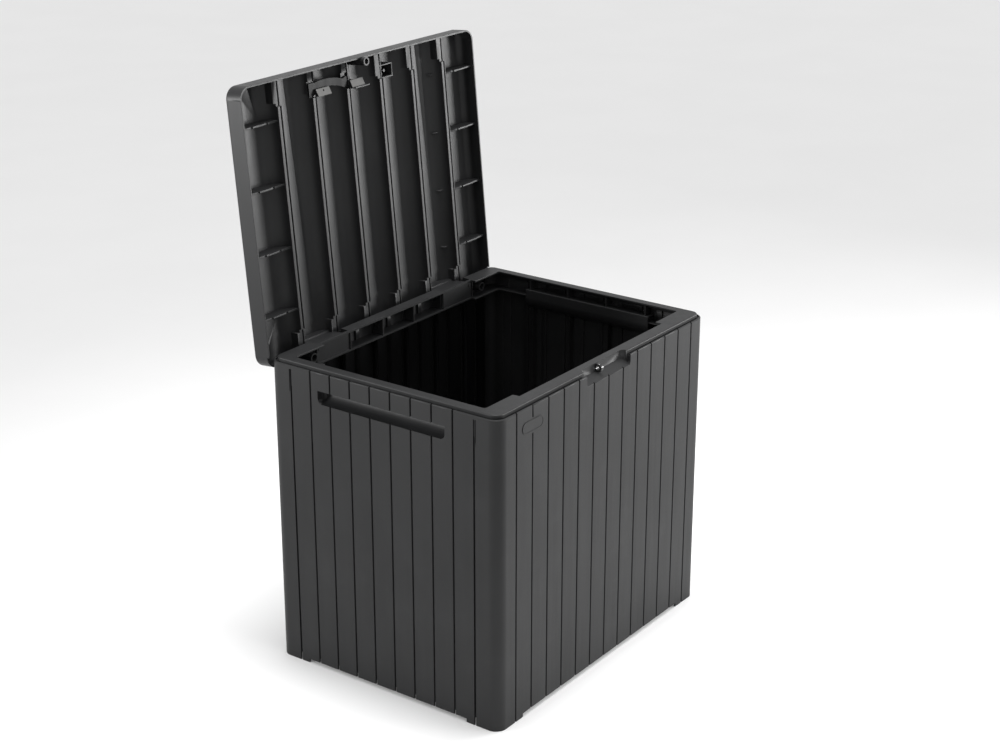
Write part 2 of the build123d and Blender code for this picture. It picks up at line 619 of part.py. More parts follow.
def lid_inner_profile():
    """Cross-section of the lid's underside: ribs rounded into the troughs between them."""
    ceiling = LID_RIM + LID_T - LID_SKIN
    ends = LID_RIM + RIB_RECESS
    half = LID_W / 2 - LID_SKIN
    shape = Pos(0, ceiling + FUSE / 2) * Rectangle(2 * half + 1, 2 * FUSE)
    for x in rib_xs():
        left = x - RIB_W / 2
        right = x + RIB_W / 2 + SLOT_W + FIN_W
        shape += Pos((left + right) / 2, (ends + ceiling + 0.5) / 2) * Rectangle(right - left,
                                                                                 ceiling + 0.5 - ends)
        for edge, side in ((left, -1), (right, 1)):
            cove = Pos(edge + side * (COVE_R / 2 - 0.5), ceiling - COVE_R / 2 + 0.25) * Rectangle(
                COVE_R + 1, COVE_R + 0.5)
            cove -= Pos(edge + side * COVE_R, ceiling - COVE_R) * Circle(COVE_R)
            shape += cove
    for side in (-1, 1):
        cove = Pos(side * (half - COVE_R / 4 + 0.5), ceiling - COVE_R / 4 + 0.25) * Rectangle(
            COVE_R / 2 + 1, COVE_R / 2 + 0.5)
        cove -= Pos(side * (half - COVE_R / 2), ceiling - COVE_R / 2) * Circle(COVE_R / 2)
        shape += cove
    for x in rib_xs():
        slot_x = x + RIB_W / 2 + SLOT_W / 2
        shape -= Pos(slot_x, ends + SLOT_D / 2 - 0.5) * Rectangle(SLOT_W, SLOT_D + 1)
    return shape


def lid_outer():
    """The lid's outer shell with planked top and plain skirt."""
    body = Pos(0, 0, LID_RIM) * extrude(RectangleRounded(LID_W, LID_D, CORNER_R), LID_T)
    body = fillet(top_edges(body, LID_RIM + LID_T), LID_EDGE_R)
    inner = RectangleRounded(LID_W - 2 * LID_SKIN, LID_D - 2 * LID_SKIN, CORNER_R - LID_SKIN)
    body -= Pos(0, 0, LID_RIM - 1) * extrude(inner, LID_T - LID_SKIN + 1)
    top = LID_RIM + LID_T
    grooves = []
    for x in front_groove_xs():
        grooves.append(span(x - LID_GROOVE_W / 2, x + LID_GROOVE_W / 2, -LID_D / 2 + 12, LID_D / 2 - 12,
                            top - LID_GROOVE_D, top + 1))
    return body - grooves


def cross_ribs():
    """Short ribs across the two outer troughs, dropped clear of the box's rim at the skirt."""
    ribs = []
    ceiling = LID_RIM + LID_T - LID_SKIN + FUSE
    low = LID_RIM + RIB_RECESS + CROSS_RIB_RISE
    inner = RIB_PITCH * 2.5
    outer = LID_W / 2 - LID_SKIN + FUSE
    for s in (-1, 1):
        for i in range(4):
            y = CROSS_RIB_FIRST_Y + i * CROSS_RIB_PITCH
            far = y + CROSS_RIB_T
            ribs.append(span(s * inner, s * outer, y, far, LID_RIM + RIB_END_RECESS, ceiling))
            ribs.append(span(s * inner, s * (inner + CROSS_RIB_NEAR), y, far, low, ceiling))
            ribs.append(span(s * (inner + CROSS_RIB_FAR), s * (RIM_SIDE_X - 3), y, far, low, ceiling))
            ribs.append(span(s * (inner - CROSS_STUB), s * inner, y, far, LID_RIM + LID_T - CROSS_STUB_H,
                             ceiling))
    return ribs


def rib_end_pads():
    """The wider, shallower ends of the long ribs, front and back."""
    pads = []
    ceiling = LID_RIM + LID_T - LID_SKIN + FUSE
    for x in rib_xs():
        left = x - RIB_W / 2 - (RIB_END_W - RIB_W)
        for s in (-1, 1):
            pads.append(span(left, x + RIB_W / 2, s * (LID_D / 2 - RIB_END_LENGTH), s * (LID_D / 2 - 2),
                             LID_RIM + RIB_END_RECESS, ceiling))
    return pads


def skirt_ticks():
    """Small stiffeners inside the front skirt, one to a trough."""
    ticks = []
    for i in range(-3, 4):
        x = i * RIB_PITCH
        ticks.append(span(x - TICK_W / 2, x + TICK_W / 2, -LID_D / 2 + 1, -LID_D / 2 + LID_SKIN + TICK_D,
                          LID_RIM + 0.6,
                          LID_RIM + LID_T - 1))
    return ticks


def lugs():
    """The two hinge lugs: a knuckle barrel on a web and two end plates."""
    parts = []
    ceiling = LID_RIM + LID_T - LID_SKIN + FUSE
    for s in (-1, 1):
        x0, x1 = s * LUG_X0, s * LUG_X1
        middle = (x0 + x1) / 2
        root = HINGE_Y - KNUCKLE_R
        parts.append(Pos(middle, HINGE_Y, HINGE_Z) * Rot(0, 90, 0) * Cylinder(KNUCKLE_R, LUG_X1 - LUG_X0))
        parts.append(span(x0, x1, root, root + LUG_PLATE_T, HINGE_Z, ceiling))
        for x in (x0, x1 - s * LUG_PLATE_T):
            parts.append(span(x, x + s * LUG_PLATE_T, root, HINGE_Y + LUG_PLATE_REACH, HINGE_Z, ceiling))
        parts.append(span(x0, x1, root - LUG_FOOT, root + 1, LID_RIM + LUG_FOOT_RISE, ceiling))
    return parts


def catch_pads():
    """Two small sloping pads beside the ribs for the catch, one with a nose, each on a stem."""
    ceiling = LID_RIM + LID_T - LID_SKIN + FUSE
    front = PAD_Y - PAD_D / 2
    rear = PAD_Y + PAD_D / 2
    wedge = Polyline((front, PAD_Z), (front, PAD_Z + PAD_T), (rear, PAD_Z + PAD_T), (rear,
                                                                                     PAD_Z - PAD_SLOPE),
                     close=True)
    parts = []
    for x in (PAD_A_X, PAD_B_X):
        left = x - PAD_W / 2
        right = x + PAD_W / 2
        parts.append(Pos(left, 0, 0) * extrude(Plane.YZ * make_face(wedge), PAD_W))
        parts.append(span(left, right, PAD_Y - WEB_T / 2, PAD_Y + WEB_T / 2, PAD_Z + 1, ceiling))
        parts.append(span(x - 3.5, x + 3.5, PAD_Y, rear, PAD_Z + 1, ceiling))
    parts.append(span(PAD_B_X - PAD_W / 2 + 3, PAD_B_X + PAD_W / 2 + 6, rear - 0.5, rear + 2,
                      PAD_Z - NOSE_DROP, PAD_Z + PAD_T))
    return parts


def socket():
    """The open square socket beside the fourth rib, with a cross web and a peg in it."""
    ceiling = LID_RIM + LID_T - LID_SKIN + FUSE
    low = LID_RIM + RIB_END_RECESS
    outer = Pos(SOCKET_X, SOCKET_Y) * RectangleRounded(SOCKET_W, SOCKET_D, 1.5)
    inner = Pos(SOCKET_X, SOCKET_Y) * Rectangle(SOCKET_W - 2 * SOCKET_WALL, SOCKET_D - 2 * SOCKET_WALL)
    tube = Pos(0, 0, low) * extrude(outer - inner, ceiling - low)
    web = span(SOCKET_X - 1, SOCKET_X + 1, SOCKET_Y - SOCKET_D / 2 + 1, SOCKET_Y + SOCKET_D / 2 - 1,
               low + SOCKET_WEB_DEPTH, ceiling)
    peg = Pos(SOCKET_X, SOCKET_Y, (low + PEG_DEPTH + ceiling) / 2) * Cylinder(PEG_R,
                                                                              ceiling - low - PEG_DEPTH)
    return [tube, web, peg]


def lock_tube():
    """The round tube inside the front edge that reaches down into the front recess."""
    ceiling = LID_RIM + LID_T - LID_SKIN + FUSE
    low = LID_RIM - LOCK_TUBE_REACH
    tube = Pos(LOCK_TUBE_X, LOCK_TUBE_Y, low) * extrude(Circle(LOCK_TUBE_R), ceiling - low)
    block = span(LOCK_TUBE_X - LOCK_BLOCK_W / 2, LOCK_TUBE_X + LOCK_BLOCK_W / 2, -LID_D / 2 + 2,
                 LOCK_TUBE_Y,
                 LID_RIM + 1, ceiling)
    return [tube, block]


def lock_tube_hole():
    low = LID_RIM - LOCK_TUBE_REACH
    return Pos(LOCK_TUBE_X, LOCK_TUBE_Y, low - 1) * extrude(Circle(LOCK_TUBE_HOLE_R), 27)


def make_lid_shell():
    """The whole moulded lid, closed."""
    inner_d = LID_D - 2 * LID_SKIN + 1
    ribs = Pos(0, inner_d / 2, 0) * extrude(Plane.XZ * lid_inner_profile(), inner_d)
    clip = Pos(0, 0, LID_RIM) * extrude(RectangleRounded(LID_W - 4, LID_D - 4, CORNER_R - 2), LID_T - 1)
    ribs = ribs & clip
    low_ends = [span(-LID_W, LID_W, s * (RIM_FRONT_END_Y - 3), s * LID_D, 0, LID_RIM + RIB_END_RECESS)
                for s in (-1, 1)]
    ribs = ribs - low_ends
    lid = lid_outer() + ribs + rib_end_pads() + cross_ribs() + skirt_ticks()
    lid = lid - span(*ARM_ROOM, 0, LID_RIM + RIB_END_RECESS + ARM_T + SLIDE_GAP)
    lid = lid + lugs() + catch_pads() + socket() + lock_tube()
    pad_hole = Pos(PAD_A_X, PAD_Y - 2, PAD_Z) * Cylinder(PAD_HOLE_R, 12)
    rear_gap = span(-LID_W, LID_W, LID_D / 2 - LID_SKIN - 0.01, LID_D, 0, LID_RIM + REAR_SKIRT_RISE)
    corner_gap = [span(s * (LID_W / 2 - CORNER_R), s * LID_W, LID_D / 2 - CORNER_R, LID_D, 0,
                       LID_RIM + REAR_SKIRT_RISE) for s in (-1, 1)]
    return lid - lock_tube_hole() - pad_hole - rear_gap - corner_gap - pin_bores(PIN_R + PIN_CLEARANCE)


def make_catch_spring():
    """The dark bent arm across the third trough, with its end block and a fin."""
    z0 = LID_RIM + RIB_END_RECESS
    z1 = z0 + ARM_T
    path = ThreePointArc(ARM_START, ARM_MIDDLE, ARM_END)
    band = Pos(0, 0, z0) * extrude(trace(path, ARM_W), ARM_T)
    block = span(*ARM_BLOCK, z0, z1)
    fin_plan = Polyline((-56, -190), (-38, -196), (-38, -177), (-50, -180), close=True)
    fin = Pos(0, 0, z0) * extrude(make_face(fin_plan), ARM_T)
    return band + block + fin


def opened(shape):
    """A closed lid piece turned back about the hinge line to where the open lid rests."""
    return Pos(0, HINGE_Y, HINGE_Z) * Rot(-LID_OPEN, 0, 0) * Pos(0, -HINGE_Y, -HINGE_Z) * shape


def save(name, shape):
    solids = shape.solids()
    print(name, len(solids), round(sum(s.volume for s in solids)))
    export_step(shape, f"parts/{name}.step")


os.makedirs("parts", exist_ok=True)
save("front_panel", make_front_panel())
save("back_panel", make_back_panel())
save("left_panel", make_side_panel(-1))
save("right_panel", make_side_panel(1))
save("floor_panel", make_floor_panel())
save("padlock_eye", make_padlock_eye())
save("hinge_pin_left", make_hinge_pin(-1))
save("hinge_pin_right", make_hinge_pin(1))
save("lid_shell", opened(make_lid_shell()))
save("catch_spring", opened(make_catch_spring()))
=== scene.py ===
"""Deck storage box: softened panels and lid, finishes, studio and camera around the fixed CAD frame."""
from __future__ import annotations

import logging
import math
from dataclasses import dataclass
from enum import Enum

import bmesh
import bpy
from mathutils import Matrix, Vector


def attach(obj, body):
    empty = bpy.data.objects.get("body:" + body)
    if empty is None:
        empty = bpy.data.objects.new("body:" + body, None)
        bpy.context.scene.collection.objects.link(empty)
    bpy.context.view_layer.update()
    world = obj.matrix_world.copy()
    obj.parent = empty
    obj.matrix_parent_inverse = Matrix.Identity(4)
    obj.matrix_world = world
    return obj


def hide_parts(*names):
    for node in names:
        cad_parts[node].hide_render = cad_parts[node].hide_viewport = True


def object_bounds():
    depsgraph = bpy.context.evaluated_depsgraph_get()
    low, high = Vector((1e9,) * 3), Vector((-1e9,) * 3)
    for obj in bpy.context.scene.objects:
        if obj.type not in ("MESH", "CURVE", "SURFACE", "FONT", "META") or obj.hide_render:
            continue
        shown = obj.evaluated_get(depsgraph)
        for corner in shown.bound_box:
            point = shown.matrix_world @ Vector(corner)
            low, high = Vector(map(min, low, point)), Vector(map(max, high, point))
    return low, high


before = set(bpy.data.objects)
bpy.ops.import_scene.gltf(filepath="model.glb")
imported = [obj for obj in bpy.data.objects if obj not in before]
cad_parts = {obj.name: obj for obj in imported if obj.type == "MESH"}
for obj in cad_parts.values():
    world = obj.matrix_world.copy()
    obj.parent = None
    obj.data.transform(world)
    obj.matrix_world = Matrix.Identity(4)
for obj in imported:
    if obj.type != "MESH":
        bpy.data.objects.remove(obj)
CAD_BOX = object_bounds()
LOG = logging.getLogger("deck_box")
MM = 0.001


class Body(Enum):
    """The two bodies that pieces ride on."""

    BOX = "box"
    LID = "lid"


class Slot(Enum):
    """The record's material slots."""

    GRAPHITE = "graphite_plastic"
    BLACK = "black_plastic"


# ---------------------------------------------------------------- node helpers


class Nodes:
    """A short way to place and wire shader nodes in one tree."""

    def __init__(self, tree: bpy.types.NodeTree) -> None:
        """Keeps the tree.

        Args:
            tree: the node tree to work in.
        """
        self.tree = tree

    def add(self, kind: str, **settings: object) -> bpy.types.Node:
        """Adds a node and sets its properties and input values.

        Args:
            kind: the node's type name, such as ShaderNodeMath.
            **settings: properties by name, and inputs as in_INDEX or in_NAME.

        Returns:
            The new node.
        """
        node = self.tree.nodes.new(kind)
        for key, value in settings.items():
            if not key.startswith("in_"):
                setattr(node, key, value)
        for key, value in settings.items():
            if key.startswith("in_"):
                name = key[3:]
                socket = node.inputs[int(name)] if name.isdigit() else node.inputs[name.replace("_", " ")]
                self.feed(socket, value)
        return node

    def feed(self, socket: bpy.types.NodeSocket, value: object) -> None:
        """Links a socket to another, or sets its value.

        Args:
            socket: the input.
            value: an output socket, or a plain value.
        """
        if isinstance(value, bpy.types.NodeSocket):
            self.tree.links.new(value, socket)
        else:
            socket.default_value = value

    def math(self, operation: str, *values: object, clamp: bool = False) -> bpy.types.NodeSocket:
        """Adds a Math node.

        Args:
            operation: the operation's name.
            *values: its inputs in order.
            clamp: whether the result is kept between 0 and 1.

        Returns:
            The node's output.
        """
        node = self.tree.nodes.new("ShaderNodeMath")
        node.operation = operation
        node.use_clamp = clamp
        for socket, value in zip(node.inputs, values):
            self.feed(socket, value)
        return node.outputs[0]

    def ramp(self, value: object, low: float, high: float, to_low: float = 0.0,
             to_high: float = 1.0) -> bpy.types.NodeSocket:
        """Maps a value from one range to another, clamped and smooth.

        Args:
            value: the input.
            low: where the input range starts.
            high: where the input range ends.
            to_low: the output at low.
            to_high: the output at high.

        Returns:
            The mapped value.
        """
        node = self.add("ShaderNodeMapRange", interpolation_type="SMOOTHSTEP",
                        in_0=value, in_1=low, in_2=high, in_3=to_low, in_4=to_high)
        return node.outputs[0]

    def noise(self, vector: object, scale: float, detail: float = 2.0,
              roughness: float = 0.5) -> bpy.types.NodeSocket:
        """Adds a noise texture and returns its value.

        Args:
            vector: the coordinates.
            scale: features per metre.
            detail: octaves.
            roughness: the weight of the finer octaves.

        Returns:
            The noise value, about 0.5 on average.
        """
        node = self.add("ShaderNodeTexNoise", in_Vector=vector, in_Scale=scale, in_Detail=detail,
                        in_Roughness=roughness)
        return node.outputs[0]

    def stretched(self, vector: object, scale: tuple[float, float, float]) -> bpy.types.NodeSocket:
        """Scales coordinates along each axis.

        Args:
            vector: the coordinates.
            scale: the factor on each axis.

        Returns:
            The scaled coordinates.
        """
        return self.add("ShaderNodeMapping", in_Vector=vector, in_Scale=scale).outputs[0]


def new_group(name: str, inputs: dict[str, tuple[str, float]],
              outputs: dict[str, str]) -> tuple[bpy.types.NodeTree, Nodes, dict, dict]:
    """Starts a shader node group with named sockets.

    Args:
        name: the group's name.
        inputs: socket kind and default value by name.
        outputs: socket kind by name.

    Returns:
        The tree, its node helper, the inputs inside the group and the output sockets to feed.
    """
    tree = bpy.data.node_groups.new(name, "ShaderNodeTree")
    for label, (kind, value) in inputs.items():
        socket = tree.interface.new_socket(name=label, in_out="INPUT", socket_type=kind)
        if kind == "NodeSocketFloat":
            socket.default_value = value
    for label, kind in outputs.items():
        tree.interface.new_socket(name=label, in_out="OUTPUT", socket_type=kind)
    nodes = Nodes(tree)
    entry = tree.nodes.new("NodeGroupInput")
    leave = tree.nodes.new("NodeGroupOutput")
    given = {socket.name: socket for socket in entry.outputs if socket.name}
    wanted = {socket.name: socket for socket in leave.inputs if socket.name}
    return tree, nodes, given, wanted


@dataclass(frozen=True)
class MouldGrain:
    """The fine spark-eroded grain of a moulded face."""

    scale: float = 1300.0
    pit_softness: float = 0.6
    pit_share: float = 0.6
    fine_ratio: float = 0.55
    fine_detail: float = 3.0
    fine_roughness: float = 0.6
    fleck_low: float = 0.35
    fleck_high: float = 0.65

    def build(self) -> bpy.types.NodeTree:
        """Builds the group.

        Returns:
            A group that gives a Height for a bump and a Fleck value for tone.
        """
        tree, nodes, entry, leave = new_group(
            "mould_grain", {"Vector": ("NodeSocketVector", 0.0), "Scale": ("NodeSocketFloat", self.scale)},
            {"Height": "NodeSocketFloat", "Fleck": "NodeSocketFloat"})
        pits = nodes.add("ShaderNodeTexVoronoi", feature="SMOOTH_F1", in_Vector=entry["Vector"],
                         in_Scale=entry["Scale"], in_Smoothness=self.pit_softness)
        fine = nodes.noise(entry["Vector"], nodes.math("MULTIPLY", entry["Scale"], self.fine_ratio),
                           self.fine_detail, self.fine_roughness)
        pit_height = nodes.math("MULTIPLY", pits.outputs["Distance"], self.pit_share)
        nodes.feed(leave["Height"], nodes.math("ADD", pit_height, fine))
        nodes.feed(leave["Fleck"], nodes.ramp(fine, self.fleck_low, self.fleck_high))
        return tree


@dataclass(frozen=True)
class MeltFlow:
    """Soft clouds and long faint streaks that a large moulding shows."""

    cloud_scale: float = 7.0
    cloud_detail: float = 4.0
    cloud_roughness: float = 0.55
    cloud_low: float = 0.3
    cloud_high: float = 0.7
    streak_scale: tuple[float, float, float] = (70.0, 70.0, 4.0)
    streak_detail: float = 3.0
    streak_roughness: float = 0.6
    streak_low: float = 0.35
    streak_high: float = 0.7

    def build(self) -> bpy.types.NodeTree:
        """Builds the group.

        Returns:
            A group that gives a Cloud value and a Streak value, both 0 to 1.
        """
        tree, nodes, entry, leave = new_group(
            "melt_flow",
            {"Vector": ("NodeSocketVector", 0.0), "Cloud_Scale": ("NodeSocketFloat", self.cloud_scale)},
            {"Cloud": "NodeSocketFloat", "Streak": "NodeSocketFloat"})
        cloud = nodes.noise(entry["Vector"], entry["Cloud_Scale"], self.cloud_detail, self.cloud_roughness)
        long_way = nodes.stretched(entry["Vector"], self.streak_scale)
        streak = nodes.noise(long_way, 1.0, self.streak_detail, self.streak_roughness)
        nodes.feed(leave["Cloud"], nodes.ramp(cloud, self.cloud_low, self.cloud_high))
        nodes.feed(leave["Streak"], nodes.ramp(streak, self.streak_low, self.streak_high))
        return tree


@dataclass(frozen=True)
class Scuffs:
    """Sparse handling marks: short fine scratches and rubbed patches."""

    amount: float = 0.5
    line_scales: tuple[tuple[float, float, float], ...] = (
        (900.0, 60.0, 12.0), (25.0, 420.0, 500.0), (380.0, 380.0, 16.0))
    line_detail: float = 1.0
    line_roughness: float = 0.4
    line_low: float = 0.74
    line_high: float = 0.8
    patch_scale: float = 14.0
    patch_detail: float = 3.0
    patch_roughness: float = 0.6
    scratched_low: float = 0.5
    scratched_high: float = 0.62
    rubbed_low: float = 0.55
    rubbed_high: float = 0.75
    rub_scale: float = 160.0
    rub_detail: float = 2.0

    def build(self) -> bpy.types.NodeTree:
        """Builds the group.

        Returns:
            A group that gives a Scratch mask and a Rub mask.
        """
        tree, nodes, entry, leave = new_group(
            "scuffs", {"Vector": ("NodeSocketVector", 0.0), "Amount": ("NodeSocketFloat", self.amount)},
            {"Scratch": "NodeSocketFloat", "Rub": "NodeSocketFloat"})
        lines = 0.0
        for scale in self.line_scales:
            along = nodes.stretched(entry["Vector"], scale)
            line = nodes.noise(along, 1.0, self.line_detail, self.line_roughness)
            lines = nodes.math("MAXIMUM", lines, nodes.ramp(line, self.line_low, self.line_high))
        patch = nodes.noise(entry["Vector"], self.patch_scale, self.patch_detail, self.patch_roughness)
        sparse = nodes.math("MULTIPLY", lines, nodes.ramp(patch, self.scratched_low, self.scratched_high))
        nodes.feed(leave["Scratch"], nodes.math("MULTIPLY", sparse, entry["Amount"], clamp=True))
        rub = nodes.math("MULTIPLY", nodes.ramp(patch, self.rubbed_low, self.rubbed_high),
                         nodes.noise(entry["Vector"], self.rub_scale, self.rub_detail))
        nodes.feed(leave["Rub"], nodes.math("MULTIPLY", rub, entry["Amount"], clamp=True))
        return tree


@dataclass(frozen=True)
class MouldedPlastic:
    """A matte or semi-gloss moulded plastic with grain, flow marks and light wear."""

    name: str
    colour: tuple[float, float, float]
    roughness: float
    specular: float
    grain_scale: float
    grain_depth: float
    cloud: float
    wear: float
    light_lift: float = 0.002
    worn_gain: float = 1.9
    worn_lift: float = 0.012
    fleck_share: float = 0.35
    rub_share: float = 0.4
    streak_roughness: float = 0.05
    fleck_roughness: float = 0.04
    rub_polish: float = 0.12
    scratch_depth: float = 0.8
    bump_strength: float = 0.6

    def make(self, groups: dict[str, bpy.types.NodeTree]) -> bpy.types.Material:
        """Builds the material.

        Args:
            groups: the shared effect groups by name.

        Returns:
            The finished material.
        """
        material = bpy.data.materials.new(self.name)
        material.use_nodes = True
        tree = material.node_tree
        shader = tree.nodes["Principled BSDF"]
        nodes = Nodes(tree)
        place = nodes.add("ShaderNodeTexCoord").outputs["Object"]
        grain = nodes.add("ShaderNodeGroup", node_tree=groups["grain"], in_Vector=place,
                          in_Scale=self.grain_scale)
        flow = nodes.add("ShaderNodeGroup", node_tree=groups["flow"], in_Vector=place)
        scuff = nodes.add("ShaderNodeGroup", node_tree=groups["scuff"], in_Vector=place,
                          in_Amount=self.wear)
        nodes.feed(shader.inputs["Base Color"], self.tone(nodes, grain, flow, scuff))
        nodes.feed(shader.inputs["Roughness"], self.sheen(nodes, grain, flow, scuff))
        shader.inputs["Specular IOR Level"].default_value = self.specular
        scratches = nodes.math("MULTIPLY", scuff.outputs["Scratch"], self.scratch_depth)
        bump = nodes.add("ShaderNodeBump", in_Strength=self.bump_strength, in_Distance=self.grain_depth,
                         in_Height=nodes.math("SUBTRACT", grain.outputs["Height"], scratches))
        nodes.feed(shader.inputs["Normal"], bump.outputs[0])
        return material

    def tone(self, nodes: Nodes, grain: bpy.types.Node, flow: bpy.types.Node,
             scuff: bpy.types.Node) -> bpy.types.NodeSocket:
        """Mixes the base colour from clouds, flecks and worn spots.

        Args:
            nodes: the material's node helper.
            grain: the grain group's node.
            flow: the flow group's node.
            scuff: the scuff group's node.

        Returns:
            The colour.
        """
        light = tuple(min(1.0, c * (1.0 + self.cloud) + self.light_lift) for c in self.colour) + (1.0,)
        deep = tuple(c * (1.0 - self.cloud) for c in self.colour) + (1.0,)
        worn = tuple(c * self.worn_gain + self.worn_lift for c in self.colour) + (1.0,)
        clouds = nodes.add("ShaderNodeMix", data_type="RGBA", in_0=flow.outputs["Cloud"], in_6=deep,
                           in_7=light)
        flecks = nodes.math("MULTIPLY", grain.outputs["Fleck"], self.fleck_share)
        flecked = nodes.add("ShaderNodeMix", data_type="RGBA", in_0=flecks, in_6=clouds.outputs[2],
                            in_7=light)
        rubs = nodes.math("MULTIPLY", scuff.outputs["Rub"], self.rub_share)
        marks = nodes.math("ADD", scuff.outputs["Scratch"], rubs)
        marked = nodes.add("ShaderNodeMix", data_type="RGBA", in_0=marks, in_6=flecked.outputs[2],
                           in_7=worn)
        return marked.outputs[2]

    def sheen(self, nodes: Nodes, grain: bpy.types.Node, flow: bpy.types.Node,
              scuff: bpy.types.Node) -> bpy.types.NodeSocket:
        """Varies the roughness with streaks, flecks and rubbed spots.

        Args:
            nodes: the material's node helper.
            grain: the grain group's node.
            flow: the flow group's node.
            scuff: the scuff group's node.

        Returns:
            The roughness.
        """
        streaks = nodes.math("MULTIPLY", flow.outputs["Streak"], self.streak_roughness)
        flecks = nodes.math("MULTIPLY", grain.outputs["Fleck"], self.fleck_roughness)
        rubs = nodes.math("MULTIPLY", scuff.outputs["Rub"], self.rub_polish)
        rough = nodes.math("ADD", nodes.math("ADD", streaks, self.roughness), flecks)
        return nodes.math("SUBTRACT", rough, rubs, clamp=True)


@dataclass(frozen=True)
class StudioFloor:
    """The pale matte floor."""

    name: str = "studio_floor_finish"
    colour: tuple[float, float, float] = (0.84, 0.84, 0.84)
    low_share: float = 0.985
    mottle_scale: float = 3.0
    mottle_detail: float = 4.0
    mottle_low: float = 0.3
    mottle_high: float = 0.7
    roughness: float = 0.9
    specular: float = 0.2
    glow: float = 0.1

    def make(self) -> bpy.types.Material:
        """Builds the floor's material.

        Returns:
            A matte material with a barely visible mottle.
        """
        material = bpy.data.materials.new(self.name)
        material.use_nodes = True
        shader = material.node_tree.nodes["Principled BSDF"]
        nodes = Nodes(material.node_tree)
        place = nodes.add("ShaderNodeTexCoord").outputs["Object"]
        mottle = nodes.ramp(nodes.noise(place, self.mottle_scale, self.mottle_detail),
                            self.mottle_low, self.mottle_high)
        low = tuple(c * self.low_share for c in self.colour) + (1.0,)
        mix = nodes.add("ShaderNodeMix", data_type="RGBA", in_0=mottle, in_6=low, in_7=self.colour + (1.0,))
        nodes.feed(shader.inputs["Base Color"], mix.outputs[2])
        shader.inputs["Roughness"].default_value = self.roughness
        shader.inputs["Emission Color"].default_value = (1.0, 1.0, 1.0, 1.0)
        shader.inputs["Emission Strength"].default_value = self.glow
        shader.inputs["Specular IOR Level"].default_value = self.specular
        return material


GRAPHITE = (0.0105, 0.0107, 0.0112)
PANEL_FINISH = MouldedPlastic(
    "graphite_panel_face", colour=GRAPHITE, roughness=0.46, specular=0.3,
    grain_scale=1300.0, grain_depth=0.12 * MM, cloud=0.1, wear=0.3)
LID_FINISH = MouldedPlastic(
    "graphite_lid_face", colour=GRAPHITE, roughness=0.4, specular=0.3,
    grain_scale=1300.0, grain_depth=0.1 * MM, cloud=0.1, wear=0.3)
FLOOR_FINISH = MouldedPlastic(
    "graphite_floor_plate", colour=(0.0120, 0.0122, 0.0127), roughness=0.5, specular=0.45,
    grain_scale=1100.0, grain_depth=0.14 * MM, cloud=0.12, wear=0.5)
EYE_FINISH = MouldedPlastic(
    "black_eye_gloss", colour=(0.008, 0.008, 0.0085), roughness=0.2, specular=0.6,
    grain_scale=2200.0, grain_depth=0.03 * MM, cloud=0.1, wear=0.25)
# The catch pads' pale colour is a painted highlight; the scuffs and grain on it are real wear and texture.
PAD_HIGHLIGHT_FINISH = MouldedPlastic(
    "painted_highlight_catch_pad", colour=(0.085, 0.084, 0.082), roughness=0.36, specular=0.5,
    grain_scale=1300.0, grain_depth=0.06 * MM, cloud=0.12, wear=0.5)
CATCH_FINISH = MouldedPlastic(
    "black_catch", colour=(0.0022, 0.0022, 0.0024), roughness=0.46, specular=0.14,
    grain_scale=1800.0, grain_depth=0.05 * MM, cloud=0.1, wear=0.15)
PIN_FINISH = MouldedPlastic(
    "black_pin", colour=(0.011, 0.011, 0.0115), roughness=0.3, specular=0.5,
    grain_scale=2000.0, grain_depth=0.04 * MM, cloud=0.1, wear=0.4)


class FinishRack:
    """Makes each finish once and hands it out."""

    def __init__(self) -> None:
        """Builds the shared effect groups."""
        self.groups = {"grain": MouldGrain().build(), "flow": MeltFlow().build(),
                       "scuff": Scuffs().build()}
        self.made: dict[str, bpy.types.Material] = {}

    def get(self, finish: MouldedPlastic) -> bpy.types.Material:
        """Gives a finish's material.

        Args:
            finish: the finish wanted.

        Returns:
            Its material, built on first use.
        """
        if finish.name not in self.made:
            self.made[finish.name] = finish.make(self.groups)
        return self.made[finish.name]


# ---------------------------------------------------------------- mesh helpers

MERGE_WITHIN = 0.01 * MM
FLAT_WITHIN = math.radians(0.3)
SMOOTH_UP_TO = math.radians(32)
HARD_FROM = math.radians(50)
HARD_TO = math.radians(130)
ROUNDING_STEPS = 2
EVEN_WEIGHT = 50


def clear_selection() -> None:
    """Deselects every object."""
    bpy.ops.object.select_all(action="DESELECT")


def activate(obj: bpy.types.Object) -> None:
    """Makes an object the only selected one.

    Args:
        obj: the object.
    """
    clear_selection()
    obj.select_set(True)
    bpy.context.view_layer.objects.active = obj


def dress(obj: bpy.types.Object, material: bpy.types.Material) -> None:
    """Gives an object one material.

    Args:
        obj: the object.
        material: its finish.
    """
    obj.data.materials.clear()
    obj.data.materials.append(material)


def round_hard_edges(obj: bpy.types.Object, offset: float, shortest: float) -> int:
    """Rounds an object's long hard outer edges.

    Args:
        obj: a merged mesh object, active.
        offset: the rounding's width in metres.
        shortest: edges shorter than this stay sharp.

    Returns:
        How many edges were rounded.
    """
    bpy.ops.object.mode_set(mode="EDIT")
    bpy.ops.mesh.select_mode(type="EDGE")
    bpy.ops.mesh.select_all(action="DESELECT")
    mesh = bmesh.from_edit_mesh(obj.data)
    count = 0
    for edge in mesh.edges:
        if len(edge.link_faces) != 2 or edge.calc_length() < shortest:
            continue
        if HARD_FROM < edge.calc_face_angle_signed(0.0) < HARD_TO:
            edge.select_set(True)
            count += 1
    bmesh.update_edit_mesh(obj.data)
    if count:
        bpy.ops.mesh.bevel(offset=offset, offset_type="OFFSET", segments=ROUNDING_STEPS, profile=0.5,
                           clamp_overlap=False)
    bpy.ops.object.mode_set(mode="OBJECT")
    return count


